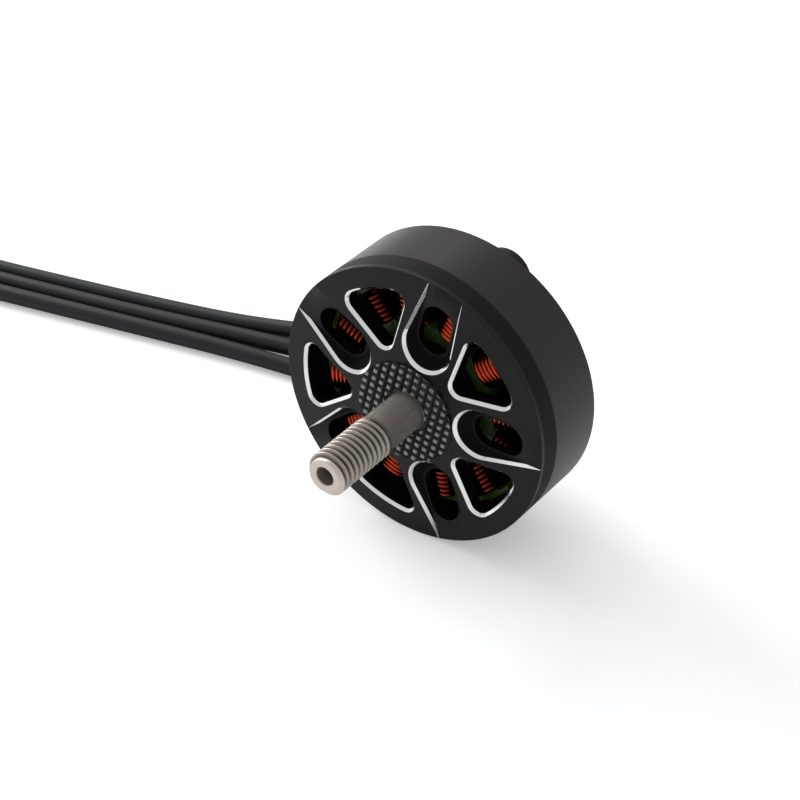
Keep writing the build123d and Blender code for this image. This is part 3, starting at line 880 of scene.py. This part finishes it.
class MOTOR_OT_shaft(bpy.types.Operator):
    """Turn the shaft and cut its thread"""

    bl_idname = "motor.shaft"
    bl_label = "Threaded shaft"

    segments = 72

    def execute(self, context):
        sizes = context.scene.motor_sizes
        bm = bmesh.new()
        grooves_start = sizes.thread_start + sizes.thread_collar
        grooves_end = SHAFT_TIP - sizes.tip_chamfer
        self.cut_thread(bm, sizes, grooves_start, grooves_end)
        self.turn_body(bm, sizes, grooves_start)
        self.join_ends(bm, grooves_start, grooves_end)
        bmesh.ops.recalc_face_normals(bm, faces=bm.faces)
        neck_top = sizes.thread_start + 0.01 * MM
        for face in bm.faces:
            face.material_index = int(face.calc_center_median().z < neck_top)
        bm.transform(LAY_DOWN)
        add_piece(
            "threaded_shaft",
            bm,
            [finishes["shaft"], finishes["neck"]],
            "rotor",
            replaces=["shaft"],
            smooth=38,
        )
        return {"FINISHED"}

    def cut_thread(self, bm, sizes, start, end):
        """Spins a row of V grooves one turn while it climbs one pitch, and trims both ends."""
        pitch, crest = sizes.thread_pitch, SHAFT_RADIUS
        shoulder, root = crest - 0.03 * MM, crest - sizes.thread_depth
        # Radius, and the height as a share of the pitch.
        groove = ((shoulder, 0), (crest, 0.06), (crest, 0.16), (shoulder, 0.22), (root, 0.55), (root, 0.67))
        outline = []
        for number in range(ceil((end - start) / pitch) + 2):
            height = start + (number - 1) * pitch
            outline += [(radius, height + rise * pitch) for radius, rise in groove]
        geometry = half_section(bm, outline, closed=False)
        bmesh.ops.spin(
            bm,
            geom=geometry,
            cent=(0, 0, 0),
            axis=(0, 0, 1),
            dvec=(0, 0, pitch / self.segments),
            angle=tau,
            steps=self.segments,
            use_duplicate=False,
        )
        bmesh.ops.remove_doubles(bm, verts=bm.verts, dist=0.002 * MM)
        for height, side in ((start, -1), (end, 1)):
            bmesh.ops.bisect_plane(
                bm,
                geom=bm.verts[:] + bm.edges[:] + bm.faces[:],
                dist=0.0001 * MM,
                plane_co=(0, 0, height),
                plane_no=(0, 0, side),
                clear_outer=True,
            )

    def turn_body(self, bm, sizes, grooves_start):
        """Spins the plain stretches, from the thread's collar round the back to the tip."""
        blend = 0.12 * MM
        outline = [
            (SHAFT_RADIUS, grooves_start),
            (SHAFT_RADIUS, sizes.thread_start + blend),
            (SHAFT_RADIUS - blend, sizes.thread_start),
            (sizes.neck_radius, sizes.thread_start - 0.5 * blend),
            (sizes.neck_radius, HUB_HEIGHT - blend),
            (SHAFT_RADIUS, HUB_HEIGHT - 2 * blend),
            (SHAFT_RADIUS, SHAFT_BACK),
            (sizes.screw_radius, SHAFT_BACK),
            (sizes.screw_radius, SHAFT_BACK + sizes.screw_depth),
            (sizes.bore_radius, SHAFT_BACK + sizes.screw_depth),
            (sizes.bore_radius, SHAFT_TIP - blend),
            (sizes.bore_radius + blend, SHAFT_TIP),
            (SHAFT_RADIUS - sizes.tip_chamfer - 0.4 * blend, SHAFT_TIP),
            (SHAFT_RADIUS - sizes.tip_chamfer, SHAFT_TIP - 0.4 * blend),
        ]
        spin_round(bm, half_section(bm, outline, closed=False), self.segments)

    def join_ends(self, bm, grooves_start, grooves_end):
        """Bridges the thread's trimmed ends to the plain stretches."""
        open_edges = [e for e in bm.edges if e.is_boundary]
        middle = (grooves_start + grooves_end) / 2
        for upper in (False, True):
            rim = [e for e in open_edges if (e.verts[0].co.z > middle) == upper]
            bmesh.ops.bridge_loops(bm, edges=rim)


class MOTOR_OT_bell(bpy.types.Operator):
    """Finish the bell cap's cut bevels and raise the hub's knurl"""

    bl_idname = "motor.bell"
    bl_label = "Bell cap and knurl"

    def execute(self, context):
        sizes = context.scene.motor_sizes
        self.finish_cap(sizes)
        self.raise_knurl(context, sizes)
        return {"FINISHED"}

    def finish_cap(self, sizes):
        """A copy of the cap whose windows and pockets show bare metal along their cut edges."""
        bm = merged_copy("bell_cap")
        rim = BELL_RADIUS - 1.2 * MM
        for face in bm.faces:
            centre = face.calc_center_median()
            from_axis = Vector((centre.x, 0, centre.z)).length
            in_cut = sizes.hub_radius < from_axis < rim and abs(face.normal.y) < 0.85
            face.material_index = int(in_cut)
        cap = add_piece(
            "anodised_bell_cap",
            bm,
            [finishes["cap"], finishes["cut"]],
            "rotor",
            replaces=["bell_cap"],
        )
        self.smooth_cone(cap.data, sizes)

    def smooth_cone(self, mesh, sizes):
        """Gives the cap's conical face the normals of a true cone."""
        slope = cone_slope(sizes)
        steepest, flattest = 0.99, 0.9975
        normals = [Vector()] * len(mesh.loops)
        for face in mesh.polygons:
            if not steepest < -face.normal.y < flattest or face.material_index:
                continue
            for corner in face.loop_indices:
                place = mesh.vertices[mesh.loops[corner].vertex_index].co
                radial = Vector((place.x, 0, place.z)).normalized()
                depth = (BELL_RADIUS - radial.dot(place)) * slope + sizes.rim_height + place.y
                if abs(depth) < 0.05 * MM:
                    normals[corner] = (radial * slope - Vector((0, 1, 0))).normalized()
        mesh.normals_split_custom_set(normals)

    def raise_knurl(self, context, sizes):
        """Rows of truncated pyramids on the hub, trimmed to a ring round the shaft."""
        pitch, seat = sizes.knurl_pitch, 0.04 * MM
        flank = 0.43 * pitch
        cells = 2 * ceil(sizes.knurl_radius / pitch) + 1
        bm = bmesh.new()
        bmesh.ops.create_grid(bm, x_segments=cells, y_segments=cells, size=cells * pitch / 2)
        bmesh.ops.inset_individual(bm, faces=bm.faces[:], thickness=flank, depth=sizes.knurl_height)
        base = bmesh.ops.extrude_face_region(bm, geom=bm.faces[:])
        lowered = [item for item in base["geom"] if isinstance(item, bmesh.types.BMVert)]
        for vertex in lowered:
            vertex.co.z = -2 * seat
        bmesh.ops.recalc_face_normals(bm, faces=bm.faces)
        turn = Matrix.Rotation(sizes.knurl_turn, 4, "Z")
        shift = Matrix.Translation((0.45 * pitch, -0.1 * pitch, HUB_HEIGHT + seat))
        bm.transform(LAY_DOWN @ turn @ shift)
        plate = add_helper("knurl_plate", bm)

        ring = bmesh.new()
        inner, outer = SHAFT_RADIUS + 0.25 * MM, sizes.knurl_radius
        low, high = HUB_HEIGHT - 1 * MM, HUB_HEIGHT + 1 * MM
        outline = [(inner, low), (outer, low), (outer, high), (inner, high)]
        spin_round(ring, half_section(ring, outline), 96)
        bmesh.ops.recalc_face_normals(ring, faces=ring.faces)
        ring.transform(LAY_DOWN)
        trimmer = add_helper("knurl_trimmer", ring)

        trim = plate.modifiers.new("trim", "BOOLEAN")
        trim.operation = "INTERSECT"
        trim.object = trimmer
        trim.solver = "EXACT"
        trimmed = bmesh.new()
        trimmed.from_mesh(evaluated_mesh(plate))
        bpy.data.objects.remove(plate)
        bpy.data.objects.remove(trimmer)
        add_piece("hub_knurl", trimmed, [finishes["knurl"]], "rotor", smooth=60)


def add_helper(name, bm):
    """A passing object that only helps to shape a piece."""
    mesh = bpy.data.meshes.new(name)
    bm.to_mesh(mesh)
    bm.free()
    helper = bpy.data.objects.new(name, mesh)
    bpy.context.scene.collection.objects.link(helper)
    return helper


def evaluated_mesh(helper):
    """The mesh of an object with its modifiers applied."""
    shown = helper.evaluated_get(bpy.context.evaluated_depsgraph_get())
    return bpy.data.meshes.new_from_object(shown)


class MOTOR_OT_windings(bpy.types.Operator):
    """Wind enamelled wire round each stator tooth"""

    bl_idname = "motor.windings"
    bl_label = "Windings"

    # For each layer, in wire diameters: its rise over the stator, and how far its bends reach
    # across and along the tooth.
    layers = ((0.6, 0.62, 0.62), (2.0, 1.9, 1.5))

    def execute(self, context):
        sizes = context.scene.motor_sizes
        for number, node in enumerate(COILS):
            line = smooth_line(f"winding_{number + 1:02d}", self.turns(sizes), "NURBS")
            line.resolution_u = 3
            turn = sizes.stator_turn + number * tau / TEETH
            line.transform(LAY_DOWN @ Matrix.Rotation(turn, 4, "Z"))
            add_tube(line, sizes.strand / 2, 2, finishes["enamel"], node)
        return {"FINISHED"}

    def turns(self, sizes):
        """Control points of one coil on the tooth along +X: out on the first layer, back on the next."""
        wire = sizes.strand
        half_slot_slope = tan(pi / TEETH)
        points = []
        for layer, (rise, across, along) in enumerate(self.layers):
            half = sizes.tooth_width / 2 + (layer + 0.5) * wire
            low = STATOR_BOTTOM - rise * wire
            high = STATOR_TOP + rise * wire
            # The wire stays 0.1 mm off the middle of the slot, where the next coil's wire lies.
            inner = max(sizes.coil_inner + wire / 2, (half + wire / 2) / half_slot_slope + 0.1 * MM)
            outer = sizes.coil_outer - wire / 2
            count = int((outer - inner) / wire)
            places = [outer - (count - turn) * wire for turn in range(count + 1)]
            if layer % 2:
                places.reverse()
            step = wire / 8 * (-1 if layer % 2 else 1)
            for place in places:
                points += self.one_turn(place, half, low, high, wire * across, wire * along, step)
        return points

    def one_turn(self, place, half, low, high, across, along, step):
        """Eight points round the tooth, each a little further out along it."""
        loop = [
            (half, low + along),
            (half, high - along),
            (half - across, high),
            (across - half, high),
            (-half, high - along),
            (-half, low + along),
            (across - half, low),
            (half - across, low),
        ]
        return [Vector((place + number * step, side, height)) for number, (side, height) in enumerate(loop)]


class MOTOR_OT_stator_and_base(bpy.types.Operator):
    """Coat the stator core, whose coat rounds its edges, and finish the base"""

    bl_idname = "motor.stator_and_base"
    bl_label = "Stator core and base"

    def execute(self, context):
        sizes = context.scene.motor_sizes
        core = merged_copy("stator_core")
        bevel_sharp(core, sizes.epoxy_edge, 3)
        materials = [finishes["epoxy"]]
        add_piece("coated_stator_core", core, materials, "stator", ["stator_core"])
        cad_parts["base"].material_slots[0].material = finishes["base"]
        return {"FINISHED"}


# The finish of each remaining node, by the first part of its name that fits.
CARRIED_FINISHES = {
    "flux_ring": "ring",
    "magnet": "magnet",
    "hub_spacer": "bearing",
    "shaft_washer": "bearing",
    "retaining_screw": "fastener",
    "front_cage": "cage",
    "rear_cage": "cage",
    "front": "bearing",
    "rear": "bearing",
}


class MOTOR_OT_carried_nodes(bpy.types.Operator):
    """Give each remaining node of the frame its finish"""

    bl_idname = "motor.carried_nodes"
    bl_label = "Carried nodes"

    def execute(self, context):
        for name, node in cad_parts.items():
            if node.hide_render or name == "base":
                continue
            finish = next((f for first, f in CARRIED_FINISHES.items() if name.startswith(first)), None)
            if finish is None:
                raise RuntimeError(f"no finish is set for the node {name}")
            for slot in node.material_slots:
                slot.material = finishes[finish]
        return {"FINISHED"}


class MOTOR_PT_panel(bpy.types.Panel):
    """Sizes, colours and steps of the motor's looks"""

    bl_idname = "MOTOR_PT_panel"
    bl_label = "Outrunner motor"
    bl_space_type = "VIEW_3D"
    bl_region_type = "UI"
    bl_category = "Motor"

    def draw(self, context):
        for group in (context.scene.motor_sizes, context.scene.motor_colours, context.scene.motor_studio):
            box = self.layout.box()
            for name in group.bl_rna.properties.keys():
                if name not in ("rna_type", "name"):
                    box.prop(group, name)
        for step in STEPS:
            self.layout.operator(step.bl_idname)


STEPS = (
    MOTOR_OT_finishes,
    MOTOR_OT_stage,
    MOTOR_OT_leads,
    MOTOR_OT_shaft,
    MOTOR_OT_bell,
    MOTOR_OT_windings,
    MOTOR_OT_stator_and_base,
    MOTOR_OT_carried_nodes,
)
GROUPS = {"motor_sizes": MotorSizes, "motor_colours": MotorColours, "motor_studio": StudioSettings}


def register():
    """Registers the property groups, the operators and the panel."""
    for name, group in GROUPS.items():
        bpy.utils.register_class(group)
        setattr(bpy.types.Scene, name, PointerProperty(type=group))
    for step in STEPS:
        bpy.utils.register_class(step)
    bpy.utils.register_class(MOTOR_PT_panel)


def unregister():
    """Removes what register added."""
    bpy.utils.unregister_class(MOTOR_PT_panel)
    for step in reversed(STEPS):
        bpy.utils.unregister_class(step)
    for name, group in GROUPS.items():
        delattr(bpy.types.Scene, name)
        bpy.utils.unregister_class(group)


def main():
    """Makes the whole scene."""
    register()
    for step in STEPS:
        section, name = step.bl_idname.split(".")
        getattr(getattr(bpy.ops, section), name)()


if __name__ == "__main__":
    main()
